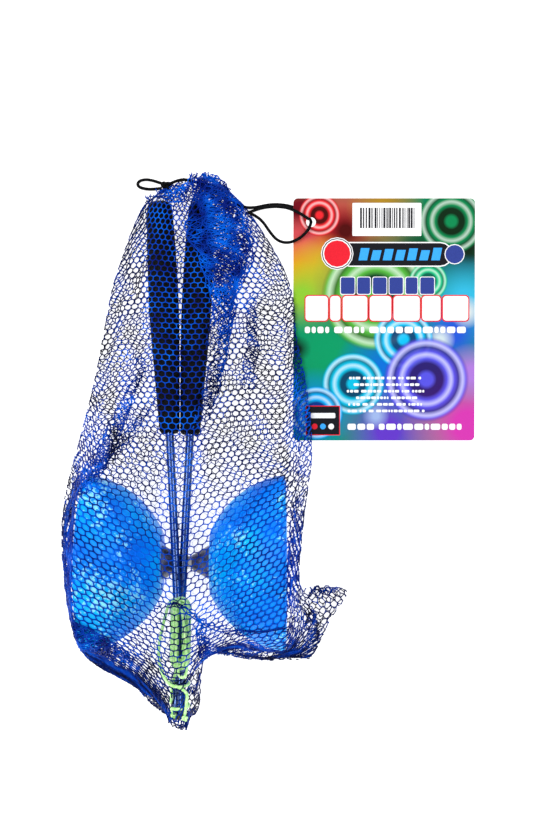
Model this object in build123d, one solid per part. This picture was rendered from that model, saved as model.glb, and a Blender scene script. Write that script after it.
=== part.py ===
"""A string-spun diabolo packed with its hand sticks and string in a drawstring net bag with a hang card.

Row frame, millimetres: +Z up, the floor is Z = 0, and the origin is on the floor straight below
the middle of the diabolo's axle. The axle runs along X, and the hand sticks point along Y.
"""
from build123d import *
import math
import os

# Diabolo: two rubber cups on a threaded rod, along X
CUP_RADIUS = 52.5
DIABOLO_LENGTH = 120.0
CUP_LIP = 2.6                 # half the thickness of the rounded rim
CUP_BASE_X = 14.5             # the cup's outer face against its hub
CUP_FLOOR_X = 22.0            # the cup's inner floor, under the washer
CUP_BASE_RADIUS = 18.6
HUB_INNER_X = 3.4
HUB_SMALL_RADIUS = 4.3
HUB_LARGE_RADIUS = 10.0
SLEEVE_RADIUS = 4.0
ROD_RADIUS = 3.0
WASHER_RADIUS = 9.0
WASHER_THICKNESS = 1.4
NUT_ACROSS_FLATS = 10.0
NUT_HEIGHT = 6.0
ROD_END_X = 31.5

# Hand sticks: an aluminium tube with a tapered foam grip, an end cap and a tip plug
STICK_LENGTH = 320.0
SHAFT_RADIUS = 2.5
SHAFT_BORE = 1.9
GRIP_LENGTH = 149.0
GRIP_END_RADIUS = 8.0
GRIP_WIDE_RADIUS = 9.4
GRIP_NECK_RADIUS = 6.2
CAP_THICKNESS = 2.0
PLUG_DEPTH = 9.0
PLUG_HEAD = 3.0

# Net bag, drawstring and card
NET_THICKNESS = 1.0
CORD_RADIUS = 1.0
STRING_RADIUS = 0.9
CARD_WIDTH = 118.5
CARD_HEIGHT = 158.0
CARD_THICKNESS = 0.6
CARD_CORNER = 3.0
CARD_HOLE_RADIUS = 3.2
CARD_TILT = 1.0               # degrees: the cord under the hole props the card's top edge up
CARD_LIFT = 0.3               # the card's bottom edge above the floor
CARD_LEFT_X = 66.0
CARD_BOTTOM_Y = 72.0
CARD_HOLE = (77.5, 214.5)

GAP = 0.3                     # running gap between loose bodies

AXLE_Z = NET_THICKNESS + GAP + CUP_RADIUS
# Height of each stick's axis over the diabolo's axle: the right one lies on the sleeve between
# the hubs, and the left one crosses over it near the tips
STICK_AXLE_Z = {"left": 65.4, "right": 60.8}
STICK_END_Y = 224.5
STICK_END_Z = 9.9
STICK_ENDS = {"left": (-20.7, 0.4), "right": (6.6, -4.2)}   # X of the grip end and of the tip

HANK_LENGTH = 46.0
HANK_WIDTH = 11.0
HANK_THICKNESS = 8.0
HANK_X = -1.4
HANK_Y = -37.0


def revolve_about_x(points):
    """A ring from a closed outline of (x, radius) points and arcs, turned about the axle."""
    return revolve(make_face(points), Axis.X).moved(Location((0, 0, AXLE_Z)))


def both_sides(solid):
    """The right-hand piece and its mirror image, as the left and right pieces."""
    return {"right": solid, "left": mirror(solid, Plane.YZ)}


def cup():
    lip_x = DIABOLO_LENGTH / 2 - CUP_LIP
    inner_rim = CUP_RADIUS - 2 * CUP_LIP
    outside = ThreePointArc((CUP_BASE_X, CUP_BASE_RADIUS), (33.0, 41.8), (lip_x, CUP_RADIUS))
    lip = ThreePointArc((lip_x, CUP_RADIUS), (lip_x + CUP_LIP, CUP_RADIUS - CUP_LIP), (lip_x, inner_rim))
    inside = ThreePointArc((lip_x, inner_rim), (41.0, 40.6), (CUP_FLOOR_X, 20.0))
    base = Polyline((CUP_FLOOR_X, 20.0), (CUP_FLOOR_X, ROD_RADIUS), (CUP_BASE_X, ROD_RADIUS),
                    (CUP_BASE_X, CUP_BASE_RADIUS))
    return revolve_about_x([outside, lip, inside, base])


def hub():
    outline = Polyline((HUB_INNER_X, ROD_RADIUS), (HUB_INNER_X, HUB_SMALL_RADIUS),
                       (CUP_BASE_X - 1.5, HUB_LARGE_RADIUS), (CUP_BASE_X, HUB_LARGE_RADIUS),
                       (CUP_BASE_X, ROD_RADIUS), close=True)
    return revolve_about_x([outline])


def ring_about_x(x_start, x_end, inner, outer):
    outline = Polyline((x_start, inner), (x_start, outer), (x_end, outer), (x_end, inner), close=True)
    return revolve_about_x([outline])


def nut():
    start = CUP_FLOOR_X + WASHER_THICKNESS
    face = RegularPolygon(NUT_ACROSS_FLATS / 2, 6, major_radius=False) - Circle(ROD_RADIUS)
    return extrude(Plane(origin=(start, 0, AXLE_Z), z_dir=(1, 0, 0)) * face, NUT_HEIGHT)


def rod():
    plane = Plane(origin=(-ROD_END_X, 0, AXLE_Z), z_dir=(1, 0, 0))
    bar = extrude(plane * Circle(ROD_RADIUS), 2 * ROD_END_X)
    return chamfer(bar.edges().filter_by(GeomType.CIRCLE), 0.5)


def make_diabolo():
    parts = {}
    washer_end = CUP_FLOOR_X + WASHER_THICKNESS
    pieces = {
        "cup": cup(),
        "hub": hub(),
        "washer": ring_about_x(CUP_FLOOR_X, washer_end, ROD_RADIUS, WASHER_RADIUS),
        "nut": nut(),
    }
    for name, solid in pieces.items():
        for side, copy in both_sides(solid).items():
            parts[f"{name}_{side}"] = copy
    parts["axle_rod"] = rod()
    parts["axle_sleeve"] = ring_about_x(-HUB_INNER_X, HUB_INNER_X, ROD_RADIUS, SLEEVE_RADIUS)
    return parts


def stick_slope(side):
    return (STICK_AXLE_Z[side] - STICK_END_Z) / STICK_END_Y


def stick_plane(side):
    """A plane at the stick's tip whose Z axis runs along the stick towards its grip."""
    x_end, x_tip = STICK_ENDS[side]
    slope = stick_slope(side)
    run = math.sqrt((STICK_LENGTH ** 2 - (x_end - x_tip) ** 2) / (1 + slope ** 2))
    end = Vector(x_end, STICK_END_Y, STICK_END_Z)
    tip = Vector(x_tip, STICK_END_Y - run, STICK_END_Z + slope * run)
    return Plane(origin=tip, x_dir=(1, 0, 0), z_dir=end - tip)


def ring_on_stick(z_start, z_end, inner, outer):
    return Location((0, 0, z_start)) * extrude(Circle(outer) - Circle(inner), z_end - z_start)


def grip():
    start = STICK_LENGTH - CAP_THICKNESS - GRIP_LENGTH
    end = STICK_LENGTH - CAP_THICKNESS
    neck = Polyline((SHAFT_RADIUS, 0, end), (SHAFT_RADIUS, 0, start), (GRIP_NECK_RADIUS - 1, 0, start),
                    (GRIP_NECK_RADIUS, 0, start + 1.5))
    shape = [(1.5, GRIP_NECK_RADIUS), (24, 7.2), (45, 8.15), (62, 8.9), (84, GRIP_WIDE_RADIUS), (108, 9.35),
             (130, 8.9), (GRIP_LENGTH, GRIP_END_RADIUS)]
    side = Spline(*[(radius, 0, start + along) for along, radius in shape])
    closing = Line((GRIP_END_RADIUS, 0, end), (SHAFT_RADIUS, 0, end))
    return revolve(make_face([neck, side, closing]), Axis.Z)


def grip_cap():
    cap = Location((0, 0, STICK_LENGTH - CAP_THICKNESS)) * extrude(Circle(GRIP_END_RADIUS - 0.4), CAP_THICKNESS)
    return fillet(cap.edges().group_by(Axis.Z)[-1], 1.2)


def tip_plug():
    head = extrude(Circle(SHAFT_RADIUS + 0.2), PLUG_HEAD)
    head = fillet(head.edges().group_by(Axis.Z)[0], 1.2)
    return head + Location((0, 0, PLUG_HEAD)) * extrude(Circle(SHAFT_BORE), PLUG_DEPTH - PLUG_HEAD)


def make_sticks():
    parts = {}
    pieces = {
        "stick_shaft": ring_on_stick(PLUG_HEAD, STICK_LENGTH - CAP_THICKNESS, SHAFT_BORE, SHAFT_RADIUS),
        "stick_grip": grip(),
        "grip_cap": grip_cap(),
        "tip_plug": tip_plug(),
    }
    for side in STICK_ENDS:
        for name, solid in pieces.items():
            parts[f"{name}_{side}"] = stick_plane(side).location * solid
    return parts


def stick_top(y, above, side="left"):
    """Height of a point at Y that lies this far above one stick's axis."""
    slope = stick_slope(side)
    return STICK_AXLE_Z[side] - slope * y + above * math.sqrt(1 + slope ** 2)


def tube(name, points, radius):
    """A round cord along straight runs joined by arcs as large as the runs allow."""
    vectors = [Vector(*point) for point in points]
    radii = []
    for before, corner, after in zip(vectors, vectors[1:], vectors[2:]):
        turn = math.radians((corner - before).get_angle(after - corner))
        shorter = min((corner - before).length, (after - corner).length)
        radii.append(0.45 * shorter / math.tan(turn / 2))
    path = FilletPolyline(*vectors, radius=radii)
    solid = sweep(Plane(origin=path @ 0, z_dir=path % 0) * Circle(radius), path)
    print(name, "arcs", [round(value, 1) for value in radii], "length", round(path.length, 1),
          "volume ratio", round(solid.volume / (math.pi * radius ** 2 * path.length), 4))
    return solid


# Route of the drawstring: from its knot, along the bag's mouth, out to the card, under it,
# up through its hole, back over its edge and along the bag's side into the mouth again
DRAWSTRING_ROUTE = [
    (-14.2, 238.9, 6.0), (-8.5, 241.4, 8.0), (-1.0, 241.6, 10.5), (8.0, 240.0, 12.2), (17.5, 237.6, 11.8),
    (27.0, 234.4, 9.0), (35.0, 231.0, 5.8), (43.0, 228.8, 3.2), (52.0, 228.3, 1.5), (61.5, 226.6, 1.15),
    (69.6, 223.4, 1.15), (75.0, 219.4, 1.1), (77.4, 216.2, 1.5), (77.6, 213.5, 4.7), (75.2, 208.2, 5.4),
    (69.8, 203.2, 5.2), (62.5, 200.4, 4.8), (55.6, 202.2, 3.4), (50.6, 208.2, 2.5), (46.0, 215.2, 2.4),
    (40.5, 221.5, 2.6),
]
# The doubled end beside it, from the card's hole back to the mouth
TAIL_ROUTE = [
    (76.2, 216.0, 5.1), (70.5, 219.9, 5.2), (63.0, 223.6, 4.9), (55.5, 225.2, 4.0), (47.5, 225.1, 3.0),
    (40.5, 226.6, 3.4),
]
# The doubled free end at the other side of the mouth, from the knot round its own fold
LOOP_ROUTE = [
    (-19.9, 239.4, 4.8), (-24.5, 241.3, 3.4), (-30.0, 242.6, 2.2), (-34.4, 241.9, 1.6), (-36.1, 239.6, 1.4),
    (-34.6, 237.4, 1.6), (-29.5, 236.1, 2.2), (-24.2, 235.9, 3.4), (-19.9, 236.3, 4.6),
]
KNOT_CENTRE = (-17.0, 237.8, 5.2)
KNOT_RADIUS = 3.2

# Leads of the string, from the hank's lower end to the tips. The left lead comes down beside the
# left stick to the tip of the right one, which lies lower and, past the crossing, further left
STRING_LEADS = {
    "left": [(-4.6, -60.3), (-5.6, -66.0), (-6.0, -72.0), (-5.4, -78.0), (-4.9, -82.2)],
    "right": [(1.6, -60.3), (2.6, -66.0), (2.2, -72.0), (2.7, -78.0), (2.0, -82.2)],
}
STRING_LIE = SHAFT_RADIUS + STRING_RADIUS + 0.25     # the leads' height above the sticks' axis plane
STRING_KNOT_RADIUS = 1.9


def lead_height(side, y, above):
    """Height of a lead: over the left stick, and for the left lead down to the right one."""
    down = min(max((-61.0 - y) / 11.0, 0.0), 1.0) if side == "left" else 0.0
    return (1 - down) * stick_top(y, above, "left") + down * stick_top(y, above, "right")


def make_string():
    slope_angle = math.degrees(math.atan(stick_slope("left")))
    lie = SHAFT_RADIUS + 0.25 + HANK_THICKNESS / 2
    centre = (HANK_X, HANK_Y, stick_top(HANK_Y, lie))
    block = Box(HANK_WIDTH, HANK_LENGTH, HANK_THICKNESS)
    block = fillet(block.edges().filter_by(Axis.Z), 5.0)
    block = fillet(block.edges().group_by(Axis.Z)[0], 2.0)
    block = fillet(block.edges().group_by(Axis.Z)[-1], 3.0)
    parts = {"string_hank": Location(centre, (-slope_angle, 0, 0)) * block}
    for side, route in STRING_LEADS.items():
        points = [(x, y, lead_height(side, y, STRING_LIE)) for x, y in route]
        parts[f"string_lead_{side}"] = tube(f"string_lead_{side}", points, STRING_RADIUS)
        x, y = route[-1]
        end_y = y - 0.8 * STRING_KNOT_RADIUS
        end = (x, end_y, lead_height(side, end_y, SHAFT_RADIUS + GAP + STRING_KNOT_RADIUS))
        parts[f"string_knot_{side}"] = Location(end) * Sphere(STRING_KNOT_RADIUS)
    return parts


# The back net's edge on the floor, counter-clockwise from the mouth
BAG_OUTLINE = [
    (2, 241), (-24, 235), (-42, 204), (-57, 145), (-70, 85), (-84, 20), (-81, -38), (-58, -77), (-20, -90),
    (14, -82), (45, -76), (78, -71), (99, -33), (84, -24), (70, -16), (71, 25), (66, 70), (64, 110),
    (63, 150), (52, 193), (34, 226),
]
# Sections of the front net across Y: the left and right foot on the back net, and the points between
BAG_SECTIONS = [
    (229, [(-35, 0), (-33.5, 12), (-28, 21), (-8, 23), (16, 22), (28, 14), (33, 0)]),
    (200, [(-42, 0), (-40, 14), (-33, 29), (-8, 31), (18, 29), (40, 13), (48, 0)]),
    (150, [(-56, 0), (-52, 20), (-36, 38), (-8, 42), (22, 38), (50, 18), (62, 0)]),
    (90, [(-69, 0), (-67, 28), (-52, 52), (-6, 58), (42, 52), (61, 28), (64.5, 0)]),
    (60, [(-77, 0), (-74, 45), (-61.5, 80), (-4, 72), (61.5, 80), (63.5, 45), (65, 0)]),
    (40, [(-80, 0), (-76, 55), (-62.5, 95.5), (-4, 82), (62.5, 95.5), (67, 55), (70, 0)]),
    (20, [(-83, 0), (-78, 60), (-62.5, 106.5), (-3, 88), (62.5, 106.5), (69, 60), (71, 0)]),
    (0, [(-83, 0), (-78, 60), (-62.5, 109), (-3, 89), (62.5, 109), (68, 60), (69.5, 0)]),
    (-20, [(-82, 0), (-77, 60), (-62.5, 106.5), (-2, 91), (62.5, 106.5), (67, 60), (69, 0)]),
    (-40, [(-80, 0), (-75, 55), (-62.5, 95.5), (-2, 96), (62.5, 95.5), (67, 55), (69, 0)]),
    (-58, [(-75, 0), (-70, 36), (-60, 66), (-2, 99), (60, 66), (64, 36), (66, 0)]),
    (-75, [(-58, 0), (-44, 20), (-24, 68), (-2, 104), (21, 68), (29, 20), (32, 0)]),
    (-92.5, [(-24, 0), (-21, 40), (-16, 86), (-2, 102), (13, 86), (15, 40), (16, 0)]),
]


def section_wire(y, profile, inset, foot):
    """One section as a wire, drawn in by inset on every side and reaching down to foot."""
    middle = sum(x for x, _ in profile) / len(profile)
    top = max(z for _, z in profile)
    points = []
    for x, z in profile:
        inward = inset if x < middle else -inset
        if abs(x - middle) < 12:
            inward = 0
        drop = inset * min(1.0, 2.2 * z / top) if z else 0
        points.append((x + inward, y, NET_THICKNESS + z - drop if z else foot))
    return Polyline(*points, close=True)


def make_bag():
    outline = make_face(Spline(*BAG_OUTLINE, periodic=True))
    parts = {"net_back": extrude(outline, NET_THICKNESS)}
    outer = [make_face(section_wire(y, profile, 0, NET_THICKNESS)) for y, profile in BAG_SECTIONS]
    inner_sections = list(BAG_SECTIONS)
    first_y, first = inner_sections[0]
    last_y, last = inner_sections[-1]
    inner_sections[0] = (first_y + 0.5, first)
    inner_sections[-1] = (last_y + NET_THICKNESS, last)
    inner = [make_face(section_wire(y, profile, NET_THICKNESS, NET_THICKNESS - 0.5))
             for y, profile in inner_sections]
    parts["net_front"] = loft(outer, ruled=True) - loft(inner, ruled=True)
    seam = [(35, -76.0, 2.2), (44, -74.2, 2.2), (54, -72.8, 2.2), (64, -70.9, 2.2), (74, -69.8, 2.2)]
    parts["bag_seam"] = tube("bag_seam", seam, 1.1)
    parts["drawstring"] = tube("drawstring", DRAWSTRING_ROUTE, CORD_RADIUS)
    parts["drawstring_tail"] = tube("drawstring_tail", TAIL_ROUTE, CORD_RADIUS)
    parts["drawstring_loop"] = tube("drawstring_loop", LOOP_ROUTE, CORD_RADIUS)
    parts["drawstring_knot"] = Location(KNOT_CENTRE) * Sphere(KNOT_RADIUS)
    return parts


def label_card():
    face = RectangleRounded(CARD_WIDTH, CARD_HEIGHT, CARD_CORNER)
    hole_x = CARD_HOLE[0] - CARD_LEFT_X - CARD_WIDTH / 2
    hole_y = CARD_HOLE[1] - CARD_BOTTOM_Y - CARD_HEIGHT / 2
    face -= Location((hole_x, hole_y)) * Circle(CARD_HOLE_RADIUS)
    card = extrude(face, CARD_THICKNESS).moved(Location((CARD_WIDTH / 2, CARD_HEIGHT / 2, 0)))
    return Location((CARD_LEFT_X, CARD_BOTTOM_Y, CARD_LIFT), (CARD_TILT, 0, 0)) * card


os.makedirs("parts", exist_ok=True)
nodes = {**make_diabolo(), **make_sticks(), **make_string(), **make_bag(), "label_card": label_card()}
for node, shape in nodes.items():
    export_step(shape, f"parts/{node}.step")
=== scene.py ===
"""Looks of a string-spun diabolo packed with hand sticks, string and hang card in a drawstring net bag."""
import bmesh
import bpy
import math
import numpy as np
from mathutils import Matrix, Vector


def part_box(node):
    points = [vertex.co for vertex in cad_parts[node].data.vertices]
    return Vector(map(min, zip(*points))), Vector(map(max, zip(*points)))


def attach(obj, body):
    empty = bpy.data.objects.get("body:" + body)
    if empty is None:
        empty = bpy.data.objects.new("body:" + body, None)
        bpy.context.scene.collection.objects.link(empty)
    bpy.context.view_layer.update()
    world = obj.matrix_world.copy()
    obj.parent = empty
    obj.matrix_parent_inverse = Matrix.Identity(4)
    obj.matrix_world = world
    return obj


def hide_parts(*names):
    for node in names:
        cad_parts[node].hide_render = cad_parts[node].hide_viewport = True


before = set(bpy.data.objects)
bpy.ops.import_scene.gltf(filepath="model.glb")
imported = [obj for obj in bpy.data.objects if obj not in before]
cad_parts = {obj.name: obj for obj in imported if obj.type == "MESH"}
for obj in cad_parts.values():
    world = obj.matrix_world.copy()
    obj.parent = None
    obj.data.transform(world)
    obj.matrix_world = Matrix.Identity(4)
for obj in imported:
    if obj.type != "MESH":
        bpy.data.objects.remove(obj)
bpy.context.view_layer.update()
MM = 0.001
SEED = 7

# ------------------------------------------------------------------ places taken from the frame, in millimetres


def box_mm(node):
    low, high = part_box(node)
    return np.array(low) / MM, np.array(high) / MM


cup_low, cup_high = box_mm("cup_right")
CUP_RADIUS = (cup_high[2] - cup_low[2]) / 2
AXLE_Z = (cup_high[2] + cup_low[2]) / 2
CUP_BASE_X = cup_low[0]
CUP_RIM_X = cup_high[0]
card_low, card_high = box_mm("label_card")
hank_low, hank_high = box_mm("string_hank")
CARD_THICKNESS = 0.6
CARD_TILT = math.radians(1.0)

# The hand sticks: X at the grip's end and at the tip, and the axis height over the diabolo's axle.
# The left stick crosses over the right one near the tips.
STICK_X = {"left": (-20.7, 0.4), "right": (6.6, -4.2)}
STICK_AXLE_Z = {"left": 65.4, "right": 60.8}
STICK_END = (224.5, 9.9)
STICK_SLOPE = {side: (height - STICK_END[1]) / STICK_END[0] for side, height in STICK_AXLE_Z.items()}
STICK_PITCH = math.atan(STICK_SLOPE["left"])
STICK_TIP_Y = -86.4
SHAFT_RADIUS = 2.5
GRIP_START_Y = 77.5
STRING_RADIUS = 0.9
CORD_RADIUS = 1.0


def stick_z(y, above=0.0, side="left"):
    """Height of a point at Y, this far above a stick's axis."""
    return STICK_AXLE_Z[side] - STICK_SLOPE[side] * y + above / math.cos(STICK_PITCH)


def stick_x(y, side):
    x_end, x_tip = STICK_X[side]
    return x_end + (x_tip - x_end) * (STICK_END[0] - y) / (STICK_END[0] - STICK_TIP_Y)


def add_object(name, data):
    piece = bpy.data.objects.new(name, data)
    bpy.context.scene.collection.objects.link(piece)
    return piece


def set_inputs(node, values):
    for name, value in values.items():
        node.inputs[name].default_value = value


def dress(node, material):
    """Give a frame node one material in place of its own."""
    node.data.materials.clear()
    node.data.materials.append(material)


# ------------------------------------------------------------------ camera, lights and floor


def make_camera():
    data = bpy.data.cameras.new("camera")
    data.sensor_width = 36.0
    data.lens = 47.25
    data.clip_start = 0.01
    camera = add_object("camera", data)
    camera.location = (0.0485, 0.0939, 0.700)
    bpy.context.scene.camera = camera


def area_light(name, location, target, size, power, color=(1, 1, 1)):
    data = bpy.data.lights.new(name, "AREA")
    data.shape = "SQUARE"
    data.size = size
    data.energy = power
    data.color = color
    light = add_object(name, data)
    light.location = location
    direction = Vector(target) - Vector(location)
    light.rotation_euler = direction.to_track_quat("-Z", "Y").to_euler()


def make_stage():
    bpy.ops.mesh.primitive_plane_add(size=40, location=(0, 0, -0.0004))
    floor = bpy.context.active_object
    floor.name = "studio_floor"
    material, shader = new_material("studio_floor")
    set_inputs(shader, {"Base Color": (0.5, 0.5, 0.5, 1), "Roughness": 0.9, "Specular IOR Level": 0.1,
                        "Emission Color": (1, 1, 1, 1), "Emission Strength": 0.86})
    floor.data.materials.append(material)
    world = bpy.data.worlds.new("studio")
    world.use_nodes = True
    background = world.node_tree.nodes["Background"]
    set_inputs(background, {"Color": (1, 1, 1, 1), "Strength": 0.8})
    bpy.context.scene.world = world
    area_light("softbox_left", (-0.75, 0.35, 1.0), (0, 0, 0.03), 0.6, 8)
    area_light("softbox_right", (0.8, 0.5, 0.9), (0, 0.05, 0.03), 0.4, 4)
    area_light("softbox_front", (0.0, -0.9, 0.8), (0, 0, 0.03), 0.5, 3)


# ------------------------------------------------------------------ materials


def new_material(name):
    material = bpy.data.materials.new(name)
    material.use_nodes = True
    return material, material.node_tree.nodes["Principled BSDF"]


class Nodes:
    """Short helpers for one material's node tree, in the object's own coordinates."""

    def __init__(self, material):
        self.tree = material.node_tree
        self.coords = self.tree.nodes.new("ShaderNodeTexCoord").outputs["Object"]

    def add(self, kind, inputs=(), **settings):
        node = self.tree.nodes.new(kind)
        for key, value in settings.items():
            setattr(node, key, value)
        for key, value in dict(inputs).items():
            if isinstance(value, bpy.types.NodeSocket):
                self.tree.links.new(value, node.inputs[key])
            else:
                node.inputs[key].default_value = value
        return node

    def math(self, operation, first, second=0.0):
        return self.add("ShaderNodeMath", {0: first, 1: second}, operation=operation).outputs[0]

    def noise(self, scale, detail=2.0, stretch=(1, 1, 1)):
        mapped = self.add("ShaderNodeMapping", {"Vector": self.coords, "Scale": stretch})
        node = self.add("ShaderNodeTexNoise", {"Vector": mapped.outputs[0], "Scale": scale, "Detail": detail})
        return node.outputs["Fac"]

    def ramp(self, value, *stops):
        node = self.add("ShaderNodeValToRGB", {"Fac": value})
        elements = node.color_ramp.elements
        while len(elements) < len(stops):
            elements.new(0.5)
        for element, (position, color) in zip(elements, stops):
            element.position = position
            element.color = (*color, 1)
        return node.outputs["Color"]

    def grey(self, value, *stops):
        return self.ramp(value, *((position, (shade,) * 3) for position, shade in stops))

    def bump(self, shader, height, strength, distance):
        node = self.add("ShaderNodeBump", {"Height": height, "Strength": strength, "Distance": distance})
        self.tree.links.new(node.outputs[0], shader.inputs["Normal"])

    def link(self, value, shader, socket):
        self.tree.links.new(value, shader.inputs[socket])


def cup_material():
    material, shader = new_material("azure_rubber")
    nodes = Nodes(material)
    cloud = nodes.noise(30, 3)
    tone = nodes.ramp(cloud, (0.34, (0.0, 0.18, 0.84)), (0.5, (0.0, 0.29, 0.97)), (0.66, (0.0, 0.46, 1.0)))
    # Painted highlight: pale glints in small patches, mixed into the rubber's colour
    glint_patches = nodes.math("MULTIPLY", nodes.noise(34, 2), nodes.noise(420, 3))
    painted_glint_mask = nodes.grey(glint_patches, (0.31, 0.0), (0.35, 0.9))
    mixed = nodes.add("ShaderNodeMix", {"Factor": painted_glint_mask, "A": tone, "B": (0.25, 0.75, 1.0, 1)}, data_type="RGBA")
    nodes.link(mixed.outputs["Result"], shader, "Base Color")
    # Painted light: a faint glow in the cup's own colour that evens out its shaded sides
    nodes.link(mixed.outputs["Result"], shader, "Emission Color")
    shader.inputs["Emission Strength"].default_value = 0.11
    scuffs = nodes.noise(420, 3, (1, 0.25, 0.25))
    nodes.link(nodes.grey(scuffs, (0.35, 0.28), (0.7, 0.5)), shader, "Roughness")
    nodes.bump(shader, nodes.noise(500, 3), 0.25, 0.0006)
    set_inputs(shader, {"Subsurface Weight": 0.08, "Subsurface Radius": (0.001, 0.004, 0.010),
                        "Specular IOR Level": 0.12})
    return material


def smoky_plastic():
    material, shader = new_material("smoky_plastic")
    nodes = Nodes(material)
    cloud = nodes.noise(160, 3)
    nodes.link(nodes.ramp(cloud, (0.35, (0.035, 0.035, 0.065)), (0.65, (0.15, 0.15, 0.24))), shader, "Base Color")
    nodes.link(nodes.grey(nodes.noise(700, 2), (0.3, 0.12), (0.7, 0.3)), shader, "Roughness")
    shader.inputs["Coat Weight"].default_value = 0.5
    return material


def metal(name, color, rough, stretch, scale=350):
    material, shader = new_material(name)
    nodes = Nodes(material)
    brushed = nodes.noise(scale, 4, stretch)
    dark = tuple(0.72 * c for c in color)
    nodes.link(nodes.ramp(brushed, (0.3, dark), (0.7, color)), shader, "Base Color")
    nodes.link(nodes.grey(brushed, (0.25, 0.6 * rough), (0.75, 1.5 * rough)), shader, "Roughness")
    nodes.bump(shader, brushed, 0.08, 0.0002)
    shader.inputs["Metallic"].default_value = 1.0
    return material


def foam_material():
    material, shader = new_material("black_foam")
    nodes = Nodes(material)
    cells = nodes.add("ShaderNodeTexVoronoi", {"Vector": nodes.coords, "Scale": 1500.0}).outputs["Distance"]
    nodes.link(nodes.ramp(cells, (0.0, (0.0005, 0.0005, 0.001)), (0.8, (0.007, 0.008, 0.011))), shader, "Base Color")
    grain = nodes.math("ADD", nodes.noise(1100, 3), cells)
    nodes.bump(shader, grain, 0.55, 0.0005)
    nodes.link(nodes.grey(nodes.noise(90, 2), (0.3, 0.62), (0.7, 0.88)), shader, "Roughness")
    shader.inputs["Specular IOR Level"].default_value = 0.08
    return material


def cap_plastic():
    material, shader = new_material("black_plastic")
    nodes = Nodes(material)
    nodes.link(nodes.grey(nodes.noise(500, 3), (0.3, 0.006), (0.7, 0.02)), shader, "Base Color")
    nodes.bump(shader, nodes.noise(2200, 2), 0.3, 0.0002)
    shader.inputs["Roughness"].default_value = 0.45
    return material


def fibre_material(name, dark, light, scale, rough=0.75, sheen=0.2):
    material, shader = new_material(name)
    nodes = Nodes(material)
    strands = nodes.noise(scale, 3)
    nodes.link(nodes.ramp(strands, (0.32, dark), (0.68, light)), shader, "Base Color")
    nodes.bump(shader, strands, 0.6, 0.0004)
    set_inputs(shader, {"Roughness": rough, "Specular IOR Level": 0.08, "Sheen Weight": sheen})
    return material


# Where the threads are painted bright blue as painted light, as centre and reach in X and Y: over the grips and in
# the bunches; elsewhere their tone is painted dark as shade
PAINTED_LIGHT_THREAD_PLACES = [((-9, 150), (22, 92)), ((22, 195), (24, 60)), ((-58, -38), (24, 18)), ((-62, 62), (14, 30)),
                  ((12, -50), (9, 24)), ((0, 236), (26, 14)), ((4, 50), (6, 60)), ((-9, 40), (6, 60)),
                  ((-40, 105), (7, 30)), ((76, 90), (14, 50)),
                  ((-46, -8), (36, 56)), ((38, -6), (34, 56))]


def net_material():
    material, shader = new_material("blue_net_thread")
    nodes = Nodes(material)
    tone = nodes.noise(75, 3)
    # Two copies of the thread's tone: a dark one, painted shade, and a bright one, painted light
    dark = nodes.ramp(tone, (0.36, (0.0, 0.002, 0.025)), (0.5, (0.0, 0.008, 0.10)), (0.64, (0.0, 0.045, 0.38)))
    painted_light_tone = nodes.ramp(tone, (0.36, (0.0, 0.010, 0.18)), (0.52, (0.0, 0.045, 0.42)), (0.68, (0.0, 0.13, 0.76)))
    # Painted light mask: 1 near the places where the threads are painted bright
    mask = 0.0
    for (x, y), (reach_x, reach_y) in PAINTED_LIGHT_THREAD_PLACES:
        moved = nodes.add("ShaderNodeMapping", {"Vector": nodes.coords, "Location": (-x / reach_x, -y / reach_y, 0),
                                                "Scale": (1 / (reach_x * MM), 1 / (reach_y * MM), 0)})
        length = nodes.add("ShaderNodeVectorMath", {0: moved.outputs[0]}, operation="LENGTH").outputs["Value"]
        near = nodes.math("MINIMUM", nodes.math("MULTIPLY", nodes.math("SUBTRACT", 1.15, length), 3.0), 1.0)
        mask = nodes.math("MAXIMUM", mask, near)
    mix = nodes.add("ShaderNodeMix", {"Factor": mask, "A": dark, "B": painted_light_tone}, data_type="RGBA")
    nodes.link(mix.outputs["Result"], shader, "Base Color")
    nodes.bump(shader, nodes.noise(2600, 2), 0.5, 0.0002)
    nodes.link(nodes.grey(nodes.noise(300, 2), (0.3, 0.45), (0.7, 0.7)), shader, "Roughness")
    shader.inputs["Specular IOR Level"].default_value = 0.05
    return material


def flat_ink(name, color):
    """One ink of the card's plain print, with the faint mottle of a printed solid."""
    material, shader = new_material(name)
    nodes = Nodes(material)
    darker = tuple(0.88 * c for c in color)
    nodes.link(nodes.ramp(nodes.noise(1400, 2), (0.3, darker), (0.6, color)), shader, "Base Color")
    set_inputs(shader, {"Roughness": 0.4, "Specular IOR Level": 0.08})
    return material


# ------------------------------------------------------------------ cords


def cord_curve(name, points, radius, material):
    """A smooth round cord that has these points, in millimetres, as its control points."""
    data = bpy.data.curves.new(name, "CURVE")
    data.dimensions = "3D"
    spline = data.splines.new("NURBS")
    spline.points.add(len(points) - 1)
    for slot, point in zip(spline.points, points):
        slot.co = (point[0] * MM, point[1] * MM, point[2] * MM, 1)
    spline.order_u = 3
    spline.use_endpoint_u = True
    spline.resolution_u = 6
    data.bevel_depth = radius * MM
    data.bevel_resolution = 3
    data.use_fill_caps = True
    data.materials.append(material)
    return add_object(name, data)


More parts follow.
